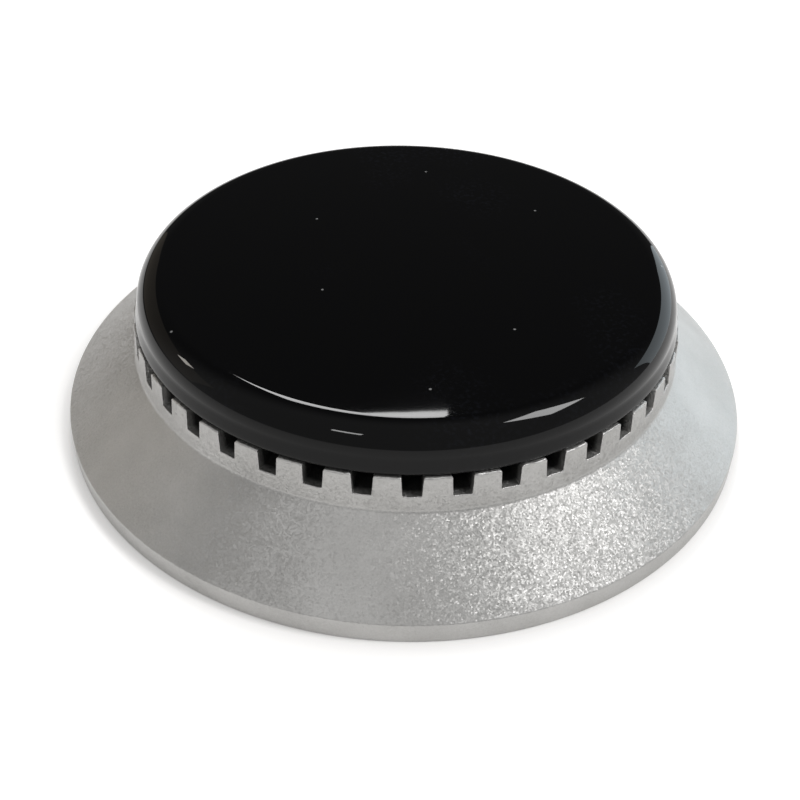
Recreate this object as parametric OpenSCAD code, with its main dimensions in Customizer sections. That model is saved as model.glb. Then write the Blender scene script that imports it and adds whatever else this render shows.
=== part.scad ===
// Burner head of a gas hob: a die-cast crown with a ring of flame ports on a
// flared skirt, and the enamelled sheet-steel cap that rests on the ring.
// The origin is the centre of the plane that the rim stands on, with +Z up.
// The port numbered 0 lies on -Y, the front. Holes for the spark electrode
// and the thermocouple are at the back, on either side of +Y.

/* [Skirt] */
// Width of the skirt, from the foot of the ring out to the rim
skirt_w = 10.1; // [8.1:0.1:20]
// Height of the upright band round the rim
rim_h = 2.9; // [2:0.1:5]
// Thickness of the upright band
rim_wall = 2; // [1.6:0.1:3]
// Height at which the slope meets the foot of the ring
skirt_h = 11.3; // [10:0.1:14]
// Wall of the sloping part, square to its surface
skirt_wall = 2; // [1.5:0.1:2.6]
// Rounding of the edge between band and slope
rim_edge = 0.35; // [0.1:0.05:0.8]

/* [Port ring] */
// Radius of the ring at the top of its teeth, outside
ring_r = 37.6; // [35:0.1:39]
// Thickness of the ring, which is the length of a port
ring_wall = 4.4; // [3.6:0.1:6]
// How much wider the ring is at its foot, for the casting draft
ring_draft = 0.3; // [0:0.05:0.6]
// Hollow rounding between slope and ring
foot_fillet = 0.7; // [0.3:0.1:1.2]
// Height of the plain band below the ports
sill_h = 2.2; // [1.4:0.1:3.5]
// Number of flame ports
port_count = 40; // [24:4:48]
// Width of a port at its sill
port_w = 2.3; // [1.6:0.05:2.6]
// Depth of a port below the tops of the teeth
port_h = 2.8; // [1.8:0.1:3.6]
// How much wider a port is at its top
port_flare = 0.3; // [0:0.05:0.6]
// Rounding of the outer top edge of the teeth
tooth_edge = 0.4; // [0.1:0.05:0.7]

/* [Cap seat] */
// Number of teeth with a raised lug that centres the cap
lug_count = 4; // [2:1:4]
// Height of a lug above the teeth
lug_h = 1.8; // [1:0.1:2.2]
// Width of a lug across its tooth
lug_w = 2.6; // [2:0.1:3]
// Clearance between the lugs and the inside of the cap
lug_gap = 0.4; // [0.2:0.05:0.8]

/* [Mixing chamber] */
// Depth of the chamber floor below the sills
floor_drop = 0.8; // [0.4:0.1:1.5]
// Thickness of the chamber floor
floor_t = 2.1; // [1.6:0.1:2.4]
// Radius of the mixing tube, inside
throat_r = 9; // [7:0.25:11]
// Wall of the mixing tube
tube_wall = 1.8; // [1.5:0.1:3]
// Height of the foot of the mixing tube above the rim plane
tube_foot = 1; // [0.5:0.1:3]
// Rounding of the tube's mouth in the chamber floor
mouth_round = 4; // [2:0.5:5]
// Rounding of the tube's inlet
inlet_round = 1.2; // [0.5:0.1:1.5]

/* [Underside] */
// Radius of the spigot that plugs into the burner cup, outside
spigot_r = 27; // [22:0.5:29]
// Wall of the spigot
spigot_wall = 1.8; // [1.5:0.1:3]
// Height of the foot of the spigot above the rim plane
spigot_foot = 1.5; // [0.5:0.1:3]
// Length of the spigot below the shoulder that stops it in the cup
spigot_h = 4.5; // [3.5:0.1:6]
// Width of that shoulder
shoulder_w = 0.8; // [0.4:0.1:1.5]
// Width of the notch that keys the crown in the cup
notch_w = 5; // [3:0.5:8]
// Depth of the notch
notch_h = 2.5; // [1.5:0.5:4]
// Rounding where the walls meet the underside of the floor
web_fillet = 1.2; // [0.5:0.1:1.8]
// Number of ribs between spigot and skirt
rib_count = 6; // [3:3:12]
// Thickness of a rib
rib_t = 1.6; // [1.2:0.1:2.4]
// Height of the ribs' lower edge above the shoulder
rib_rise = 0.4; // [0.2:0.1:2]

/* [Electrode and thermocouple] */
// Radius of the hole for the spark electrode
electrode_r = 3.5; // [2.5:0.1:3.9]
// Radius of the hole for the thermocouple
thermocouple_r = 3; // [2:0.1:3.9]
// Angle of each hole from the back of the crown
sensor_turn = 20; // [12:1:28]
// Metal left between each hole and the hollow rounding at the ring's foot
sensor_gap = 0.2; // [0.1:0.05:0.5]
// Wall of the collars round the two holes
collar_wall = 1.6; // [1.2:0.1:2.5]
// Height of the lower edge of the collars
collar_foot = 1; // [0.5:0.1:2]

/* [Cap] */
// How far the cap's edge lies inside the teeth
cap_inset = 0.3; // [0:0.05:1]
// Height of the cap above the teeth
cap_h = 5.8; // [5:0.1:9]
// Thickness of the enamelled sheet
cap_wall = 1.8; // [1.2:0.1:2.2]
// Rounding of the top edge, outside
cap_round = 3.6; // [2.6:0.1:4.2]
// How far the side leans in towards the top
cap_draft = 0.4; // [0:0.05:0.8]
// Rounding of the lower edge, outside
cap_lip = 0.5; // [0.2:0.05:0.8]

/* [Hidden] */
$fn = 96;

// Heights that the pieces share
port_floor = skirt_h + sill_h;
teeth_top = port_floor + port_h;
chamber_floor = port_floor - floor_drop;
floor_under = chamber_floor - floor_t;
cap_top = teeth_top + cap_h;

// Radii that the pieces share
ring_foot_r = ring_r + ring_draft;
rim_r = ring_foot_r + skirt_w;
chamber_r = ring_r - ring_wall;
tube_r = throat_r + tube_wall;
spigot_bore = spigot_r - spigot_wall;
shoulder_r = spigot_r + shoulder_w;
cap_r = ring_r - cap_inset;
cap_bore = cap_r - cap_wall;
lug_r = cap_bore - lug_gap;

// Height of the spigot's shoulder
shoulder_h = spigot_foot + spigot_h;

// Angle of the slope, and the height that one millimetre of rounding shifts
// an arc where the slope meets an upright wall
slope = atan2(skirt_h - rim_h, rim_r - ring_foot_r);
slope_shift = (1 - sin(slope)) / cos(slope);

// Distance by which cutters overrun what they cut
overrun = 1;

// Points of an arc about a centre, from one angle to another
function arc(centre, r, from, to, steps) =
    [for (i = [0:steps])
        let (a = from + (to - from) * i / steps)
        centre + r * [cos(a), sin(a)]];

// Radius at a height on the surface that lies a depth below the slope
function slope_r(z, depth) = rim_r - (depth + (z - rim_h) * cos(slope)) / sin(slope);

// Height at a radius on the surface that lies a depth below the slope
function slope_z(r, depth) = rim_h + ((rim_r - r) * sin(slope) - depth) / cos(slope);

// Outside of the rim, the slope and the ring, upwards
function crown_outside() = concat(
    [[rim_r, 0]],
    arc([rim_r - rim_edge, rim_h - rim_edge * slope_shift], rim_edge, 0, 90 - slope, 3),
    arc([ring_foot_r + foot_fillet, skirt_h + foot_fillet * slope_shift],
        foot_fillet, 270 - slope, 180, 5),
    arc([ring_r - tooth_edge, teeth_top - tooth_edge], tooth_edge, 0, 90, 4));

// Inside of the ring, the chamber floor and the bore of the mixing tube
function crown_chamber() = concat(
    [[chamber_r, teeth_top]],
    arc([chamber_r - web_fillet, chamber_floor + web_fillet], web_fillet, 0, -90, 5),
    arc([throat_r + mouth_round, chamber_floor - mouth_round], mouth_round, 90, 180, 12),
    arc([throat_r + inlet_round, tube_foot + inlet_round], inlet_round, 180, 270, 6));

// Underside: outside of the tube, the spigot and the hollow of the skirt
function crown_underside() = concat(
    [[tube_r, tube_foot]],
    arc([tube_r + web_fillet, floor_under - web_fillet], web_fillet, 180, 90, 5),
    arc([spigot_bore - web_fillet, floor_under - web_fillet], web_fillet, 90, 0, 5),
    [[spigot_bore, spigot_foot], [spigot_r, spigot_foot],
     [spigot_r, shoulder_h], [shoulder_r, shoulder_h]],
    arc([shoulder_r + web_fillet, floor_under - web_fillet], web_fillet, 180, 90, 5),
    [[slope_r(floor_under, skirt_wall), floor_under],
     [rim_r - rim_wall, slope_z(rim_r - rim_wall, skirt_wall)],
     [rim_r - rim_wall, 0]]);

// Space under the skirt, up to the middle of the walls that close it
module under_skirt() {
    spigot_mid = spigot_r - spigot_wall / 2;
    rim_mid = rim_r - rim_wall / 2;
    floor_mid = floor_under + floor_t / 2;
    rotate_extrude()
        polygon([[spigot_mid, 0], [rim_mid, 0],
                 [rim_mid, slope_z(rim_mid, skirt_wall / 2)],
                 [slope_r(floor_mid, skirt_wall / 2), floor_mid],
                 [spigot_mid, floor_mid]]);
}

// Ribs that stiffen the skirt against the spigot
module ribs() {
    for (i = [0:rib_count - 1])
        rotate(90 + i * 360 / rib_count)
            translate([0, -rib_t / 2, shoulder_h + rib_rise])
                cube([rim_r, rib_t, skirt_h]);
}

// Upright cylinder from a height, as close to the ring as a hole of its size
module sensor_cylinder(turn, hole_r, r, foot) {
    rotate(90 + turn)
        translate([ring_foot_r + foot_fillet + sensor_gap + hole_r, 0, foot])
            cylinder(r = r, h = skirt_h - foot + overrun);
}

// Collars under the skirt that guide the electrode and the thermocouple
module collars() {
    sensor_cylinder(sensor_turn, electrode_r, electrode_r + collar_wall, collar_foot);
    sensor_cylinder(-sensor_turn, thermocouple_r, thermocouple_r + collar_wall, collar_foot);
}

// Holes for the electrode and the thermocouple
module sensor_holes() {
    sensor_cylinder(sensor_turn, electrode_r, electrode_r, -overrun);
    sensor_cylinder(-sensor_turn, thermocouple_r, thermocouple_r, -overrun);
}

// Raised lugs on the inner half of some teeth, inside the edge of the cap
module lugs() {
    every = floor(port_count / lug_count);
    intersection() {
        translate([0, 0, port_floor])
            difference() {
                cylinder(r = lug_r, h = port_h + lug_h);
                translate([0, 0, -overrun])
                    cylinder(r = chamber_r, h = port_h + lug_h + 2 * overrun);
            }
        for (i = [0:lug_count - 1])
            rotate(-90 + (i * every + 0.5) * 360 / port_count)
                translate([0, -lug_w / 2, port_floor])
                    cube([ring_r, lug_w, port_h + lug_h]);
    }
}

// Cutters for the flame ports, wider at the top for the casting draft
module ports() {
    cut_h = port_h + lug_h + overrun;
    half_foot = port_w / 2;
    half_top = half_foot + port_flare / 2 * cut_h / port_h;
    for (i = [0:port_count - 1])
        rotate(-90 + i * 360 / port_count)
            translate([chamber_r - overrun, 0, port_floor])
                rotate([90, 0, 90])
                    linear_extrude(height = ring_wall + 2 * overrun)
                        polygon([[-half_foot, 0], [half_foot, 0],
                                 [half_top, cut_h], [-half_top, cut_h]]);
}

// Notch in the back of the spigot
module key_notch() {
    translate([-notch_w / 2, spigot_bore - overrun, spigot_foot - overrun])
        cube([notch_w, spigot_wall + 2 * overrun, notch_h + overrun]);
}

// Die-cast aluminium crown
module burner_crown() {
    color([0.66, 0.64, 0.62])
        difference() {
            union() {
                rotate_extrude()
                    polygon(concat(crown_outside(), crown_chamber(), crown_underside()));
                intersection() {
                    under_skirt();
                    union() {
                        ribs();
                        collars();
                    }
                }
                lugs();
            }
            ports();
            sensor_holes();
            key_notch();
        }
}

// Black enamelled cap, drawn from one sheet and open underneath
module burner_cap() {
    side_r = cap_r - cap_draft;
    inner_round = cap_round - cap_wall;
    color([0.11, 0.11, 0.11])
        rotate_extrude()
            polygon(concat(
                [[0, cap_top - cap_wall]],
                arc([side_r - cap_round, cap_top - cap_round], inner_round, 90, 0, 6),
                [[cap_bore, teeth_top]],
                arc([cap_r - cap_lip, teeth_top + cap_lip], cap_lip, 270, 360, 4),
                arc([side_r - cap_round, cap_top - cap_round], cap_round, 0, 90, 12),
                [[0, cap_top]]));
}

burner_crown();
burner_cap();
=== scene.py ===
import math
import bpy
import bmesh
import numpy as np
from mathutils import Matrix, Vector


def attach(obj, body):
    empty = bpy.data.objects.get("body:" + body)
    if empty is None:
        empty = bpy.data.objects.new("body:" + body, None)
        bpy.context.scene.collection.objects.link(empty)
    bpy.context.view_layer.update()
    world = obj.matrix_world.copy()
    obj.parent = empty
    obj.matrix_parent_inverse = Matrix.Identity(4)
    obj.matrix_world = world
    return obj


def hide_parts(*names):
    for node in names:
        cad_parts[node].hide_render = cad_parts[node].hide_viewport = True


# Looks of a gas hob burner: a shot-blasted cast crown and a glossy black enamelled cap.
# Sizes in the dictionaries are millimetres, everything handed to Blender is metres.

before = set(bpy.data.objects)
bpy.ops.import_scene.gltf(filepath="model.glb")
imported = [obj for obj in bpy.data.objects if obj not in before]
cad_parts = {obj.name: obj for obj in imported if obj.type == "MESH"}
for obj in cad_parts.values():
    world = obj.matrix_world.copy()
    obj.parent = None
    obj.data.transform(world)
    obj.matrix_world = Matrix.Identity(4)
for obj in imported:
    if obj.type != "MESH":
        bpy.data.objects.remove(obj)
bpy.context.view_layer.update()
print("frame loaded:", sorted(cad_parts))

mm = 0.001


# Arc of a profile: centre + radius * (cos a, sin a), for a from one angle to another
def arc(cx, cz, radius, fromDeg, toDeg, steps):
    a = np.radians(np.linspace(fromDeg, toDeg, steps + 1))
    return np.stack([cx + radius * np.cos(a), cz + radius * np.sin(a)], -1)


# Points between two corners, the last corner left out
def run(x0, z0, x1, z1, steps):
    t = np.linspace(0, 1, steps + 1)[:-1, None]
    return np.array([[x0, z0]]) * (1 - t) + np.array([[x1, z1]]) * t


# Quads between neighbouring rows and columns of a grid of vertices, in winding order
def gridFaces(rows, columns, closeRows, closeColumns):
    i = np.arange(rows if closeRows else rows - 1)[:, None]
    j = np.arange(columns if closeColumns else columns - 1)[None, :]
    i2, j2 = (i + 1) % rows, (j + 1) % columns
    quads = np.stack([i * columns + j, i * columns + j2, i2 * columns + j2, i2 * columns + j], -1)
    return quads.reshape(-1, 4)


# New object from points in millimetres and a list of faces
def meshObject(name, points, faces):
    mesh = bpy.data.meshes.new(name)
    mesh.from_pydata((np.asarray(points).reshape(-1, 3) * mm).tolist(), [], [list(map(int, f)) for f in faces])
    mesh.validate()
    obj = bpy.data.objects.new(name, mesh)
    bpy.context.scene.collection.objects.link(obj)
    return obj


# Merges doubles, drops faces without area and turns the rest outwards
def cleanMesh(obj, distance=0.002):
    bm = bmesh.new()
    bm.from_mesh(obj.data)
    bmesh.ops.remove_doubles(bm, verts=bm.verts, dist=distance * mm)
    bmesh.ops.dissolve_degenerate(bm, edges=bm.edges, dist=distance * mm)
    bmesh.ops.recalc_face_normals(bm, faces=bm.faces)
    bm.to_mesh(obj.data)
    bm.free()


# Applies all modifiers of an object
def applyModifiers(obj):
    graph = bpy.context.evaluated_depsgraph_get()
    mesh = bpy.data.meshes.new_from_object(obj.evaluated_get(graph))
    obj.modifiers.clear()
    old = obj.data
    obj.data = mesh
    mesh.name = obj.name
    bpy.data.meshes.remove(old)


def smoothShade(obj, angle):
    obj.data.shade_smooth()
    obj.data.set_sharp_from_angle(angle=math.radians(angle))
    weighted = obj.modifiers.new("weighted", "WEIGHTED_NORMAL")
    weighted.keep_sharp = True
    weighted.weight = 60


# Crown

crown = {
    "rimR": 48.0, "rimH": 2.9, "rimWall": 2.0, "rimEdge": 0.35,
    "skirtH": 11.3, "skirtWall": 2.0, "footFillet": 0.7,
    "ringR": 37.6, "ringFootR": 37.9, "ringDraft": 0.17, "chamberR": 33.2, "chamberFillet": 0.7,
    "portFloor": 13.5, "teethTop": 16.3, "ports": 40, "portW": 2.3, "portFlare": 0.3,
    "chamberFloor": 12.7, "floorUnder": 10.6,
    "throatR": 9.0, "tubeR": 10.8, "tubeFoot": 1.0, "mouthRound": 4.0, "inletRound": 1.2,
    "spigotR": 27.0, "spigotBore": 25.2, "spigotFoot": 1.5, "shoulderR": 27.8, "shoulderH": 6.0,
    "spigotEdge": 0.4, "shoulderEdge": 0.2, "edgeBreak": 0.3, "webFillet": 1.2,
    "ribs": 6, "ribT": 1.6, "ribFoot": 6.4, "ribEdge": 0.3, "collarWall": 1.6, "collarFoot": 1.0,
    "electrode": (110, 42.3, 3.5), "thermocouple": (70, 41.8, 3.0),
    "lugs": 4, "lugTurn": -85.5, "lugInset": 0.12, "lugR": 35.1, "lugFoot": 14.6, "lugTop": 18.1,
    "lugW": 2.6, "lugEdge": 0.35, "notchW": 5.0, "notchFoot": 0.4, "notchTop": 4.0,
    "toothEdge": 0.45, "unevenness": 0.035,
}


# Slope of the skirt, and a height or a radius on it at a depth below its outer face
def slopeAngle(c):
    return math.atan2(c["skirtH"] - c["rimH"], c["rimR"] - c["ringFootR"])


def slopeZ(c, r, depth):
    s = slopeAngle(c)
    return c["rimH"] + ((c["rimR"] - r) * math.sin(s) - depth) / math.cos(s)


def slopeR(c, z, depth):
    s = slopeAngle(c)
    return c["rimR"] - (depth + (z - c["rimH"]) * math.cos(s)) / math.sin(s)


# Closed section of the crown: radius and height of each row, and the number of the first of
# the four rows where a tooth and a port differ
def crownSection(c):
    s = math.degrees(slopeAngle(c))
    shift = (1 - math.sin(math.radians(s))) / math.cos(math.radians(s))
    edge, foot, web, small = c["rimEdge"], c["footFillet"], c["webFillet"], c["edgeBreak"]
    inFillet, pinEdge, stepEdge = c["chamberFillet"], c["spigotEdge"], c["shoulderEdge"]
    rimIn, ringLowR = c["rimR"] - c["rimWall"], c["ringR"] + c["ringDraft"]
    outside = np.concatenate([
        arc(c["rimR"] - small, small, small, -90, 0, 4),
        arc(c["rimR"] - edge, c["rimH"] - edge * shift, edge, 0, 90 - s, 4),
    ])
    filletArc = arc(c["ringFootR"] + foot, c["skirtH"] + foot * shift, foot, 270 - s, 180, 7)
    slope = run(*outside[-1], *filletArc[0], 14)[1:]
    wall = run(*filletArc[-1], ringLowR, c["portFloor"], 3)[1:]
    ring = np.array([[ringLowR, c["portFloor"]], [c["ringR"], c["teethTop"]],
                     [c["chamberR"], c["teethTop"]], [c["chamberR"], c["portFloor"]]])
    chamber = np.concatenate([
        arc(c["chamberR"] - inFillet, c["chamberFloor"] + inFillet, inFillet, 0, -90, 5),
        run(c["chamberR"] - 3, c["chamberFloor"], c["throatR"] + c["mouthRound"] + 1, c["chamberFloor"], 6),
        arc(c["throatR"] + c["mouthRound"], c["chamberFloor"] - c["mouthRound"], c["mouthRound"], 90, 180, 14),
        arc(c["throatR"] + c["inletRound"], c["tubeFoot"] + c["inletRound"], c["inletRound"], 180, 270, 8),
    ])
    under = np.concatenate([
        arc(c["tubeR"] - small, c["tubeFoot"] + small, small, -90, 0, 3),
        arc(c["tubeR"] + web, c["floorUnder"] - web, web, 180, 90, 6),
        arc(c["spigotBore"] - web, c["floorUnder"] - web, web, 90, 0, 6),
        arc(c["spigotBore"] + small, c["spigotFoot"] + small, small, 180, 270, 3),
        arc(c["spigotR"] - pinEdge, c["spigotFoot"] + pinEdge, pinEdge, 270, 360, 4),
        [[c["spigotR"], c["shoulderH"]]],
        arc(c["shoulderR"] - stepEdge, c["shoulderH"] + stepEdge, stepEdge, -90, 0, 3),
        arc(c["shoulderR"] + web, c["floorUnder"] - web, web, 180, 90, 6),
    ])
    hollowTop = [slopeR(c, c["floorUnder"], c["skirtWall"]), c["floorUnder"]]
    hollowFoot = [rimIn, slopeZ(c, rimIn, c["skirtWall"])]
    hollow = np.concatenate([
        [hollowTop], run(*hollowTop, *hollowFoot, 8)[1:], [hollowFoot],
        arc(rimIn + small, small, small, 180, 270, 4),
    ])
    upper = np.concatenate([outside, slope, filletArc, wall])
    section = np.concatenate([upper, ring, chamber, under, hollow])
    return section, len(upper)


# Crown: every column of the grid is the section turned to its own angle. Beside a port the
# angle is the port's own plus asin(offset / radius), so the port's sides are parallel, and
# in the columns of a port the rows of the teeth fall to the level of its floor.
def crownGrid(c):
    section, first = crownSection(c)
    toothRows = np.arange(first, first + 4)
    pitch = 2 * math.pi / c["ports"]
    half = c["portW"] / 2
    r = np.clip(section[:, 0], c["chamberR"], c["ringR"] + c["ringDraft"])[:, None]
    height = np.clip((section[:, 1] - c["portFloor"]) / (c["teethTop"] - c["portFloor"]), 0, 1)[:, None]
    inRing = np.zeros((len(section), 1))
    inRing[toothRows] = 1
    sideOfTooth = half + c["portFlare"] / 2 * height * inRing
    portCols = np.arcsin(np.array([-1, -0.35, 0.35, 1]) * half / r)
    wallCol = np.arcsin(sideOfTooth / r)
    t = np.linspace(0, 1, 7)[None, :]
    toothCols = wallCol * (1 - t) + (pitch - wallCol) * t
    onePort = np.concatenate([portCols, toothCols], 1)
    isPort = np.array([True] * 4 + [False] * 7)
    k = np.arange(c["ports"])
    angle = (-math.pi / 2 + (k * pitch)[None, :, None] + onePort[:, None, :]).reshape(len(section), -1)
    port = np.tile(isPort, c["ports"])[None, :]
    radius = np.repeat(section[:, :1], angle.shape[1], 1)
    z = np.repeat(section[:, 1:], angle.shape[1], 1)
    outer, top, inner, low = toothRows
    for grid in (radius, z, angle):
        grid[top] = np.where(port[0], grid[outer], grid[top])
        grid[inner] = np.where(port[0], grid[low], grid[inner])
    points = np.stack([radius * np.cos(angle), radius * np.sin(angle), z], -1)
    obj = meshObject("crownCasting", points, gridFaces(len(section), angle.shape[1], True, True))
    cleanMesh(obj)
    return obj


# Weights of the edges that the bevel rounds: 1 is the outer top edge of a tooth
def weightEdges(obj, c):
    mesh = obj.data
    co = np.empty(len(mesh.vertices) * 3)
    mesh.vertices.foreach_get("co", co)
    co = co.reshape(-1, 3) / mm
    ends = np.empty(len(mesh.edges) * 2, int)
    mesh.edges.foreach_get("vertices", ends)
    a, b = co[ends.reshape(-1, 2)[:, 0]], co[ends.reshape(-1, 2)[:, 1]]
    ra, rb = np.hypot(a[:, 0], a[:, 1]), np.hypot(b[:, 0], b[:, 1])
    near = lambda v, w: np.abs(v - w) < 0.03
    outA, outB = ra > c["ringR"] - 0.05, rb > c["ringR"] - 0.05
    inA, inB = near(ra, c["chamberR"]), near(rb, c["chamberR"])
    topA, topB = near(a[:, 2], c["teethTop"]), near(b[:, 2], c["teethTop"])
    lowA, lowB = near(a[:, 2], c["portFloor"]), near(b[:, 2], c["portFloor"])
    # angle between the edge's two faces, so an edge inside a flat face isn't bevelled
    bm = bmesh.new()
    bm.from_mesh(mesh)
    bm.edges.ensure_lookup_table()
    bend = np.array([e.calc_face_angle(0) for e in bm.edges])
    bm.free()
    weight = np.zeros(len(ends) // 2)
    ring = (topA | lowA) & (topB | lowB) & (bend > math.radians(25))
    weight[ring] = 0.4
    weight[ring & topA & topB & (outA | outB)] = 1.0
    weight[ring & outA & outB & (topA != topB)] = 0.45
    weight[ring & lowA & lowB & outA & outB] = 0.5
    weight[ring & lowA & lowB & (outA != outB)] = 0.35
    weights = mesh.attributes.new("bevel_weight_edge", "FLOAT", "EDGE")
    weights.data.foreach_set("value", weight)
    print("edges rounded:", int((weight > 0).sum()))


# Unevenness of the cast teeth: each point moves by a sum of five sine waves of its place
def unevenTeeth(obj, c):
    mesh = obj.data
    co = np.empty(len(mesh.vertices) * 3)
    mesh.vertices.foreach_get("co", co)
    co = co.reshape(-1, 3) / mm
    random = np.random.default_rng(4)
    waves = random.normal(0, 4.5, (5, 3))
    phase = random.uniform(0, 6.28, (5, 3))
    move = sum(np.sin((co @ wave)[:, None] + p) for wave, p in zip(waves, phase)) / 2.2
    r = np.hypot(co[:, 0], co[:, 1])
    amount = np.clip((co[:, 2] - c["skirtH"] - 1) / 1.2, 0, 1) * np.clip((r - 35) / 1.5, 0, 1)
    low = np.minimum(c["teethTop"] - co[:, 2], 1) > 0.001
    move[:, 2] = np.where(low, move[:, 2], -np.abs(move[:, 2]))
    co += move * (amount * c["unevenness"])[:, None]
    mesh.vertices.foreach_set("co", (co * mm).ravel())
    mesh.update()


# Prism: a closed outline in a plane through the axis, as thick as a rib, turned to an angle
def prism(name, outline, thickness, angle):
    outline = np.asarray(outline, float)
    n = len(outline)
    turn = np.array([math.cos(angle), math.sin(angle)])
    across = np.array([-turn[1], turn[0]])
    layers = []
    for side in (-0.5, 0.5):
        xy = outline[:, :1] * turn + across * side * thickness
        layers.append(np.concatenate([xy, outline[:, 1:]], 1))
    faces = [list(range(n)), list(range(2 * n - 1, n - 1, -1))]
    faces += [[i, (i + 1) % n, n + (i + 1) % n, n + i] for i in range(n)]
    obj = meshObject(name, np.concatenate(layers), faces)
    cleanMesh(obj)
    return obj


# Upright round bar whose top and bottom heights may differ round it
def roundBar(name, cx, cy, radius, low, high, keepInside=None):
    a = np.linspace(0, 2 * math.pi, 97)[:-1]
    x, y = cx + radius * np.cos(a), cy + radius * np.sin(a)
    if keepInside:
        scale = np.minimum(1, keepInside / np.hypot(x, y))
        x, y = x * scale, y * scale
    top = high(np.hypot(x, y)) if callable(high) else np.full_like(x, high)
    bottom = np.full_like(x, low)
    centreTop = high(np.hypot(cx, cy)) if callable(high) else high
    points = np.concatenate([np.stack([x, y, bottom], -1), np.stack([x, y, top], -1),
                             [[cx, cy, low], [cx, cy, centreTop]]])
    n = len(a)
    faces = [[i, (i + 1) % n, n + (i + 1) % n, n + i] for i in range(n)]
    faces += [[(i + 1) % n, i, 2 * n] for i in range(n)]
    faces += [[n + i, n + (i + 1) % n, 2 * n + 1] for i in range(n)]
    obj = meshObject(name, points, faces)
    cleanMesh(obj)
    return obj


def bevelObject(obj, width, segments=2, angle=40):
    bevel = obj.modifiers.new("bevel", "BEVEL")
    bevel.width = width * mm
    bevel.segments = segments
    bevel.limit_method = "ANGLE"
    bevel.angle_limit = math.radians(angle)
    applyModifiers(obj)


# Joins or cuts with a list of tool objects, then drops them
def combine(obj, tools, operation):
    for tool in tools:
        step = obj.modifiers.new(tool.name, "BOOLEAN")
        step.operation = operation
        step.solver = "MANIFOLD"
        step.object = tool
    bpy.context.view_layer.update()
    applyModifiers(obj)
    for tool in tools:
        mesh = tool.data
        bpy.data.objects.remove(tool)
        bpy.data.meshes.remove(mesh)


def buildCrown(c):
    body = crownGrid(c)
    weightEdges(body, c)
    bevel = body.modifiers.new("edges", "BEVEL")
    bevel.limit_method = "WEIGHT"
    bevel.width = c["toothEdge"] * mm
    bevel.segments = 3
    bevel.profile = 0.5
    bevel.miter_outer = "MITER_ARC"
    applyModifiers(body)
    unevenTeeth(body, c)
    print("casting:", len(body.data.polygons), "faces")
    added = []
    spigotMid = (c["spigotR"] + c["spigotBore"]) / 2
    floorMid = (c["chamberFloor"] + c["floorUnder"]) / 2
    for i in range(c["ribs"]):
        outline = [[spigotMid, c["ribFoot"]], [slopeR(c, c["ribFoot"], 1.0), c["ribFoot"]],
                   [slopeR(c, floorMid, 1.0), floorMid], [spigotMid, floorMid]]
        rib = prism(f"rib{i}", outline, c["ribT"], math.radians(90 + 360 / c["ribs"] * i))
        bevelObject(rib, c["ribEdge"])
        added.append(rib)
    holes = []
    for name in ("electrode", "thermocouple"):
        turn, circle, radius = c[name]
        x, y = circle * math.cos(math.radians(turn)), circle * math.sin(math.radians(turn))
        added.append(roundBar(name + "Collar", x, y, radius + c["collarWall"], c["collarFoot"],
                              lambda r: slopeZ(c, r, 1.0), c["rimR"] - c["rimWall"] / 2))
        holes.append(roundBar(name + "Hole", x, y, radius, -1, c["skirtH"] + 1.5))
    lugInR = c["chamberR"] + c["lugInset"]
    for i in range(c["lugs"]):
        outline = [[lugInR, c["lugFoot"]], [c["lugR"], c["lugFoot"]], [c["lugR"], c["lugTop"]],
                   [lugInR, c["lugTop"]]]
        lug = prism(f"lug{i}", outline, c["lugW"], math.radians(c["lugTurn"] + 360 / c["lugs"] * i))
        bevelObject(lug, c["lugEdge"])
        added.append(lug)
    combine(body, added, "UNION")
    notchIn, notchOut = c["spigotBore"] - 1, c["spigotR"] + 1.5
    notch = prism("notch", [[notchIn, c["notchFoot"]], [notchOut, c["notchFoot"]],
                            [notchOut, c["notchTop"]], [notchIn, c["notchTop"]]],
                  c["notchW"], math.radians(90))
    combine(body, holes + [notch], "DIFFERENCE")
    smoothShade(body, 38)
    print("crown:", len(body.data.polygons), "faces")
    return body


# Cap

cap = {
    "seat": 16.3, "top": 22.1, "rimR": 37.3, "sideR": 36.9, "bore": 35.5, "wall": 1.8,
    "edgeRound": 3.6, "lip": 0.5, "columns": 320,
}


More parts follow.
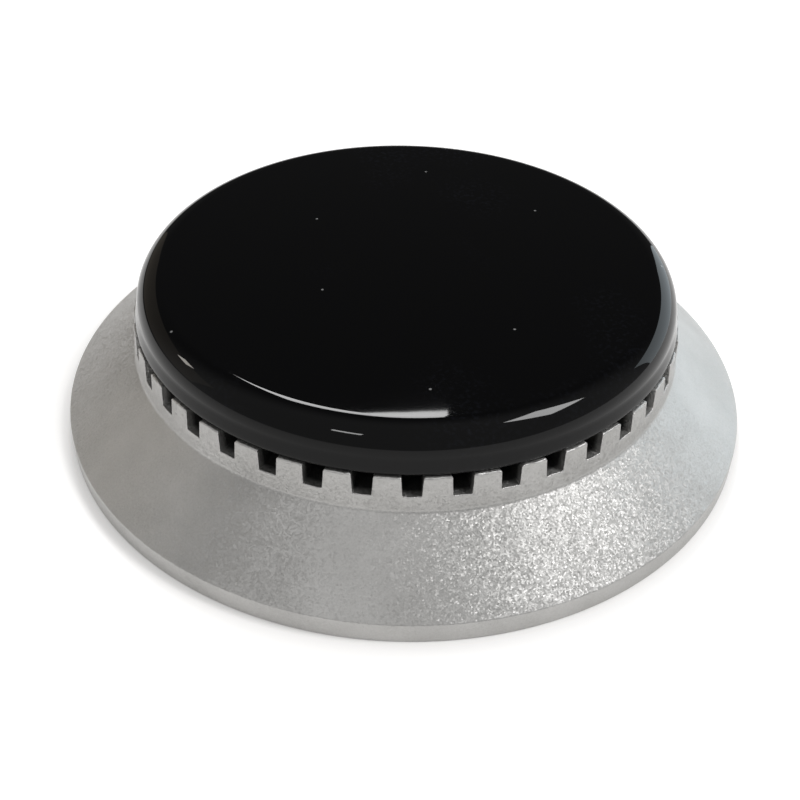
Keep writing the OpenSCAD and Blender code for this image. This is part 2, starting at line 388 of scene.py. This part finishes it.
# Cap: a closed section turned about the axis, with a pole at each end of the section
def buildCap(c):
    inner = c["edgeRound"] - c["wall"]
    section = np.concatenate([
        run(1.0, c["top"] - c["wall"], c["sideR"] - c["edgeRound"], c["top"] - c["wall"], 6),
        arc(c["sideR"] - c["edgeRound"], c["top"] - c["edgeRound"], inner, 90, 0, 8),
        run(c["bore"] - 0.05, c["top"] - 5, c["bore"], c["seat"] + 0.25, 3)[1:],
        arc(c["bore"] + 0.2, c["seat"] + 0.2, 0.2, 180, 270, 3),
        arc(c["rimR"] - c["lip"], c["seat"] + c["lip"], c["lip"], 270, 360, 6),
        run(c["rimR"] - 0.01, c["seat"] + c["lip"] + 0.15, c["sideR"], c["top"] - c["edgeRound"], 4),
        arc(c["sideR"] - c["edgeRound"], c["top"] - c["edgeRound"], c["edgeRound"], 0, 90, 26),
        run(c["sideR"] - c["edgeRound"], c["top"], 1.0, c["top"], 8)[1:], [[1.0, c["top"]]],
    ])
    n = c["columns"]
    angle = np.arange(n) * 2 * math.pi / n
    r, z = section[:, :1], np.repeat(section[:, 1:], n, 1)
    points = np.stack([r * np.cos(angle), r * np.sin(angle), z], -1).reshape(-1, 3)
    poles = np.array([[0, 0, c["top"] - c["wall"]], [0, 0, c["top"]]])
    faces = gridFaces(len(section), n, False, True).tolist()
    last = (len(section) - 1) * n
    low, high = len(points), len(points) + 1
    faces += [[j, low, (j + 1) % n] for j in range(n)]
    faces += [[last + j, last + (j + 1) % n, high] for j in range(n)]
    obj = meshObject("enamelCap", np.concatenate([points, poles]), faces)
    cleanMesh(obj)
    smoothShade(obj, 40)
    print("cap:", len(obj.data.polygons), "faces")
    return obj


# Materials

class Nodes:
    def __init__(self, name):
        self.material = bpy.data.materials.new(name)
        self.material.use_nodes = True
        self.tree = self.material.node_tree
        self.tree.nodes.clear()
        self.column = 0

    def add(self, kind, **values):
        node = self.tree.nodes.new(kind)
        node.location = (self.column * 180, 0)
        self.column += 1
        for key, value in values.items():
            setattr(node, key, value)
        return node

    def link(self, a, b):
        self.tree.links.new(a, b)


def noise(m, coords, scale, detail=2.0, roughness=0.5, distortion=0.0):
    node = m.add("ShaderNodeTexNoise")
    node.inputs["Scale"].default_value = scale
    node.inputs["Detail"].default_value = detail
    node.inputs["Roughness"].default_value = roughness
    node.inputs["Distortion"].default_value = distortion
    m.link(coords, node.inputs["Vector"])
    return node.outputs["Fac"]


def ramp(m, value, stops):
    node = m.add("ShaderNodeValToRGB")
    elements = node.color_ramp.elements
    while len(elements) < len(stops):
        elements.new(0.5)
    for element, (position, color) in zip(elements, stops):
        element.position = position
        element.color = (*color, 1) if len(color) == 3 else color
    m.link(value, node.inputs["Fac"])
    return node.outputs["Color"]


def mapRange(m, value, fromMin, fromMax, toMin, toMax):
    node = m.add("ShaderNodeMapRange")
    for key, number in zip(("From Min", "From Max", "To Min", "To Max"), (fromMin, fromMax, toMin, toMax)):
        node.inputs[key].default_value = number
    m.link(value, node.inputs["Value"])
    return node.outputs["Result"]


def bump(m, height, strength, distance, normal=None):
    node = m.add("ShaderNodeBump")
    node.inputs["Strength"].default_value = strength
    node.inputs["Distance"].default_value = distance
    m.link(height, node.inputs["Height"])
    if normal is not None:
        m.link(normal, node.inputs["Normal"])
    return node.outputs["Normal"]


alloy = {
    "dark": (0.40, 0.395, 0.385), "light": (0.52, 0.515, 0.505), "paintedPortShade": 0.3,
    "grainScale": 4200, "grainDepth": 0.00005, "grainStrength": 0.5,
    "pebbleScale": 1500, "pebbleDepth": 0.00006, "pebbleStrength": 0.2,
    "sparkleScale": 4600, "sparkleTilt": 0.24,
    "roughLow": 0.42, "roughHigh": 0.54,
}


def alloyMaterial(v):
    m = Nodes("castAlloy")
    out = m.add("ShaderNodeOutputMaterial")
    shader = m.add("ShaderNodeBsdfPrincipled")
    m.link(shader.outputs["BSDF"], out.inputs["Surface"])
    shader.inputs["Metallic"].default_value = 1.0
    coords = m.add("ShaderNodeTexCoord").outputs["Object"]
    cloud = noise(m, coords, 120, 3.0)
    fine = noise(m, coords, v["grainScale"], 2.0, 0.6)
    blend = m.add("ShaderNodeMath", operation="MULTIPLY_ADD")
    blend.inputs[1].default_value = 0.5
    m.link(fine, blend.inputs[0])
    half = m.add("ShaderNodeMath", operation="MULTIPLY")
    half.inputs[1].default_value = 0.5
    m.link(cloud, half.inputs[0])
    m.link(half.outputs[0], blend.inputs[2])
    color = ramp(m, blend.outputs[0], [(0.32, v["dark"]), (0.68, v["light"])])
    # painted shade: base colour darkened inside the ring and the ports, in the recesses under the cap
    flat = m.add("ShaderNodeVectorMath", operation="MULTIPLY")
    flat.inputs[1].default_value = (1, 1, 0)
    m.link(coords, flat.inputs[0])
    reach = m.add("ShaderNodeVectorMath", operation="LENGTH")
    m.link(flat.outputs["Vector"], reach.inputs[0])
    split = m.add("ShaderNodeSeparateXYZ")
    m.link(coords, split.inputs[0])
    inside = m.add("ShaderNodeMath", operation="MULTIPLY")
    m.link(mapRange(m, reach.outputs["Value"], 0.0370, 0.0364, 0, 1), inside.inputs[0])
    m.link(mapRange(m, split.outputs["Z"], 0.0112, 0.0121, 0, 1), inside.inputs[1])
    shade = m.add("ShaderNodeMix", data_type="RGBA", blend_type="MULTIPLY")
    m.link(inside.outputs[0], shade.inputs["Factor"])
    m.link(color, shade.inputs["A"])
    shade.inputs["B"].default_value = (v["paintedPortShade"], v["paintedPortShade"], v["paintedPortShade"], 1)
    m.link(shade.outputs["Result"], shader.inputs["Base Color"])
    m.link(mapRange(m, fine, 0.3, 0.7, v["roughLow"], v["roughHigh"]), shader.inputs["Roughness"])
    cells = m.add("ShaderNodeTexVoronoi")
    cells.inputs["Scale"].default_value = v["sparkleScale"]
    m.link(coords, cells.inputs["Vector"])
    centred = m.add("ShaderNodeVectorMath", operation="SUBTRACT")
    centred.inputs[1].default_value = (0.5, 0.5, 0.5)
    m.link(cells.outputs["Color"], centred.inputs[0])
    tilt = m.add("ShaderNodeVectorMath", operation="SCALE")
    tilt.inputs["Scale"].default_value = v["sparkleTilt"]
    m.link(centred.outputs["Vector"], tilt.inputs[0])
    pebbles = bump(m, noise(m, coords, v["pebbleScale"], 2.0), v["pebbleStrength"], v["pebbleDepth"])
    grain = bump(m, fine, v["grainStrength"], v["grainDepth"], pebbles)
    leaned = m.add("ShaderNodeVectorMath", operation="ADD")
    m.link(grain, leaned.inputs[0])
    m.link(tilt.outputs["Vector"], leaned.inputs[1])
    unit = m.add("ShaderNodeVectorMath", operation="NORMALIZE")
    m.link(leaned.outputs["Vector"], unit.inputs[0])
    m.link(unit.outputs["Vector"], shader.inputs["Normal"])
    return m.material


enamel = {
    "color": (0.0016, 0.0016, 0.0018), "roughness": 0.015, "specular": 0.2,
    "peelScale": 300, "peelDepth": 0.00002, "peelStrength": 0.03,
    "speckEvery": 0.022, "speckSize": 0.00016, "speckColor": (0.20, 0.20, 0.20),
    "hazeColor": (0.006, 0.0065, 0.009),
}


def enamelMaterial(v):
    m = Nodes("blackEnamel")
    out = m.add("ShaderNodeOutputMaterial")
    shader = m.add("ShaderNodeBsdfPrincipled")
    m.link(shader.outputs["BSDF"], out.inputs["Surface"])
    shader.inputs["Specular IOR Level"].default_value = v["specular"]
    coords = m.add("ShaderNodeTexCoord").outputs["Object"]
    # haze of fine dust in a few patches
    dust = noise(m, coords, 1800, 1.0, 0.4)
    patch = noise(m, coords, 34, 2.0)
    both = m.add("ShaderNodeMath", operation="MULTIPLY")
    m.link(mapRange(m, dust, 0.52, 0.75, 0, 1), both.inputs[0])
    m.link(mapRange(m, patch, 0.54, 0.72, 0, 1), both.inputs[1])
    haze = m.add("ShaderNodeMix", data_type="RGBA")
    haze.inputs["A"].default_value = (*v["color"], 1)
    haze.inputs["B"].default_value = (*v["hazeColor"], 1)
    m.link(both.outputs[0], haze.inputs["Factor"])
    # single specks, one in each large cell of the plan
    cells = m.add("ShaderNodeTexVoronoi", voronoi_dimensions="2D")
    cells.inputs["Scale"].default_value = 1 / v["speckEvery"]
    m.link(coords, cells.inputs["Vector"])
    edge = v["speckSize"] / v["speckEvery"]
    speck = mapRange(m, cells.outputs["Distance"], edge * 1.3, edge * 0.7, 0, 1)
    dotted = m.add("ShaderNodeMix", data_type="RGBA")
    dotted.inputs["B"].default_value = (*v["speckColor"], 1)
    m.link(haze.outputs["Result"], dotted.inputs["A"])
    m.link(speck, dotted.inputs["Factor"])
    m.link(dotted.outputs["Result"], shader.inputs["Base Color"])
    m.link(mapRange(m, patch, 0.35, 0.7, v["roughness"], v["roughness"] * 2), shader.inputs["Roughness"])
    peel = bump(m, noise(m, coords, v["peelScale"], 1.0), v["peelStrength"], v["peelDepth"])
    m.link(peel, shader.inputs["Normal"])
    return m.material


crownPiece = buildCrown(crown)
crownPiece.data.materials.clear()
crownPiece.data.materials.append(alloyMaterial(alloy))
crownPiece.name = "burnerCrownCasting"
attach(crownPiece, "root")
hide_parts("burner_crown")

capPiece = buildCap(cap)
capPiece.data.materials.clear()
capPiece.data.materials.append(enamelMaterial(enamel))
capPiece.name = "burnerCapEnamelled"
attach(capPiece, "root")
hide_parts("burner_cap")
print("pieces dressed")


# Floor

floorLook = {"size": 6.0, "color": (0.62, 0.61, 0.60), "glow": 0.6, "contactShadowReach": 0.004}


def buildFloor(v):
    h = v["size"] / 2
    obj = meshObject("floor", np.array([[-h, -h, 0], [h, -h, 0], [h, h, 0], [-h, h, 0]]) / mm, [[0, 1, 2, 3]])
    m = Nodes("paleFloor")
    out = m.add("ShaderNodeOutputMaterial")
    matt = m.add("ShaderNodeBsdfDiffuse")
    matt.inputs["Color"].default_value = (*v["color"], 1)
    glow = m.add("ShaderNodeEmission")
    # painted contact shadow: the floor's glow fades by ambient occlusion close to the burner
    near = m.add("ShaderNodeAmbientOcclusion")
    near.samples = 8
    near.inputs["Distance"].default_value = v["contactShadowReach"]
    m.link(mapRange(m, near.outputs["AO"], 0, 1, 0, v["glow"]), glow.inputs["Strength"])
    both = m.add("ShaderNodeAddShader")
    m.link(matt.outputs[0], both.inputs[0])
    m.link(glow.outputs[0], both.inputs[1])
    path = m.add("ShaderNodeLightPath")
    seen = m.add("ShaderNodeMath", operation="MAXIMUM")
    m.link(path.outputs["Is Camera Ray"], seen.inputs[0])
    m.link(path.outputs["Is Glossy Ray"], seen.inputs[1])
    through = m.add("ShaderNodeMath", operation="MAXIMUM")
    m.link(seen.outputs[0], through.inputs[0])
    m.link(path.outputs["Is Transmission Ray"], through.inputs[1])
    choice = m.add("ShaderNodeMixShader")
    m.link(through.outputs[0], choice.inputs[0])
    m.link(matt.outputs[0], choice.inputs[1])
    m.link(both.outputs[0], choice.inputs[2])
    m.link(choice.outputs[0], out.inputs["Surface"])
    obj.data.materials.append(m.material)


buildFloor(floorLook)

# Lights: each softbox stands in a direction from the burner, azimuth from +X and elevation
# in degrees, width and height as the angles it fills

lights = {
    "distance": 0.9,
    "backBox": {"az": 94, "el": 47, "wide": 21, "high": 11, "radiance": 14, "color": (1, 1, 1)},
    "rightBox": {"az": -12, "el": 54, "wide": 26, "high": 19, "radiance": 14, "color": (1, 1, 1)},
    "rightWindow": {"az": 36, "el": 9, "wide": 46, "high": 34, "radiance": 1.6, "color": (0.84, 0.94, 1.0)},
    "smallBox": {"az": -117, "el": 46, "wide": 14, "high": 4, "radiance": 14, "color": (1, 1, 1)},
    "leftBox": {"az": 165, "el": 31, "wide": 7, "high": 6, "radiance": 9, "color": (1, 0.95, 0.88)},
    "leftWall": {"az": 150, "el": 18, "wide": 70, "high": 30, "radiance": 0.16, "color": (1, 0.86, 0.68)},
}


def softbox(name, v, distance):
    az, el = math.radians(v["az"]), math.radians(v["el"])
    direction = Vector((math.cos(el) * math.cos(az), math.cos(el) * math.sin(az), math.sin(el)))
    lamp = bpy.data.lights.new(name, "AREA")
    lamp.shape = "RECTANGLE"
    lamp.size = 2 * distance * math.tan(math.radians(v["wide"]) * math.cos(el) / 2)
    lamp.size_y = 2 * distance * math.tan(math.radians(v["high"]) / 2)
    lamp.color = v["color"]
    lamp.energy = v["radiance"] * 4 * lamp.size * lamp.size_y
    obj = bpy.data.objects.new(name, lamp)
    bpy.context.scene.collection.objects.link(obj)
    up = Vector((0, 0, 1))
    right = up.cross(direction).normalized()
    top = direction.cross(right)
    basis = Matrix((right, top, direction)).transposed()
    obj.matrix_world = Matrix.Translation(direction * distance + Vector((0, 0, 0.02))) @ basis.to_4x4()


for name, values in lights.items():
    if name != "distance":
        softbox(name, values, lights["distance"])

worldLook = {"color": (0.42, 0.42, 0.42), "dark": (0.07, 0.07, 0.07)}


# World: grey, and darker in the directions behind the burner
def buildWorld(v):
    world = bpy.data.worlds.new("studio")
    bpy.context.scene.world = world
    world.use_nodes = True
    tree = world.node_tree
    tree.nodes.clear()
    out = tree.nodes.new("ShaderNodeOutputWorld")
    back = tree.nodes.new("ShaderNodeBackground")
    coords = tree.nodes.new("ShaderNodeTexCoord")
    split = tree.nodes.new("ShaderNodeSeparateXYZ")
    tree.links.new(coords.outputs["Generated"], split.inputs[0])
    behind = tree.nodes.new("ShaderNodeMapRange")
    behind.interpolation_type = "SMOOTHSTEP"
    behind.inputs["From Min"].default_value = -0.05
    behind.inputs["From Max"].default_value = 0.6
    tree.links.new(split.outputs["Y"], behind.inputs["Value"])
    mix = tree.nodes.new("ShaderNodeMix")
    mix.data_type = "RGBA"
    mix.inputs["A"].default_value = (*v["color"], 1)
    mix.inputs["B"].default_value = (*v["dark"], 1)
    tree.links.new(behind.outputs["Result"], mix.inputs["Factor"])
    tree.links.new(mix.outputs["Result"], back.inputs["Color"])
    tree.links.new(back.outputs[0], out.inputs[0])


buildWorld(worldLook)

# Camera: orbit round the middle of the rim, then small turns of the camera itself

view = {"distance": 169.97, "azimuth": -2.01, "elevation": 38.452, "lens": 51.29,
        "pan": 0.19, "tilt": -0.706, "roll": -1.642}


def buildCamera(v):
    turn = math.radians(v["azimuth"])
    el = math.radians(v["elevation"])
    spin = Matrix.Rotation(turn, 3, "Z")
    place = spin @ Vector((0, -math.cos(el), math.sin(el))) * v["distance"] * mm
    forward = -place.normalized()
    right = spin @ Vector((1, 0, 0))
    up = right.cross(forward)
    pan = Matrix.Rotation(math.radians(v["pan"]), 3, up)
    forward, right = pan @ forward, pan @ right
    tilt = Matrix.Rotation(math.radians(v["tilt"]), 3, right)
    forward, up = tilt @ forward, tilt @ up
    roll = Matrix.Rotation(math.radians(v["roll"]), 3, forward)
    right, up = roll @ right, roll @ up
    data = bpy.data.cameras.new("camera")
    data.sensor_width = 36
    data.lens = v["lens"]
    data.clip_start = 0.01
    camera = bpy.data.objects.new("camera", data)
    bpy.context.scene.collection.objects.link(camera)
    camera.matrix_world = Matrix.Translation(place) @ Matrix((right, up, -forward)).transposed().to_4x4()
    bpy.context.scene.camera = camera


buildCamera(view)
bpy.context.scene.view_settings.view_transform = "Standard"
print("stage, lights and camera set")
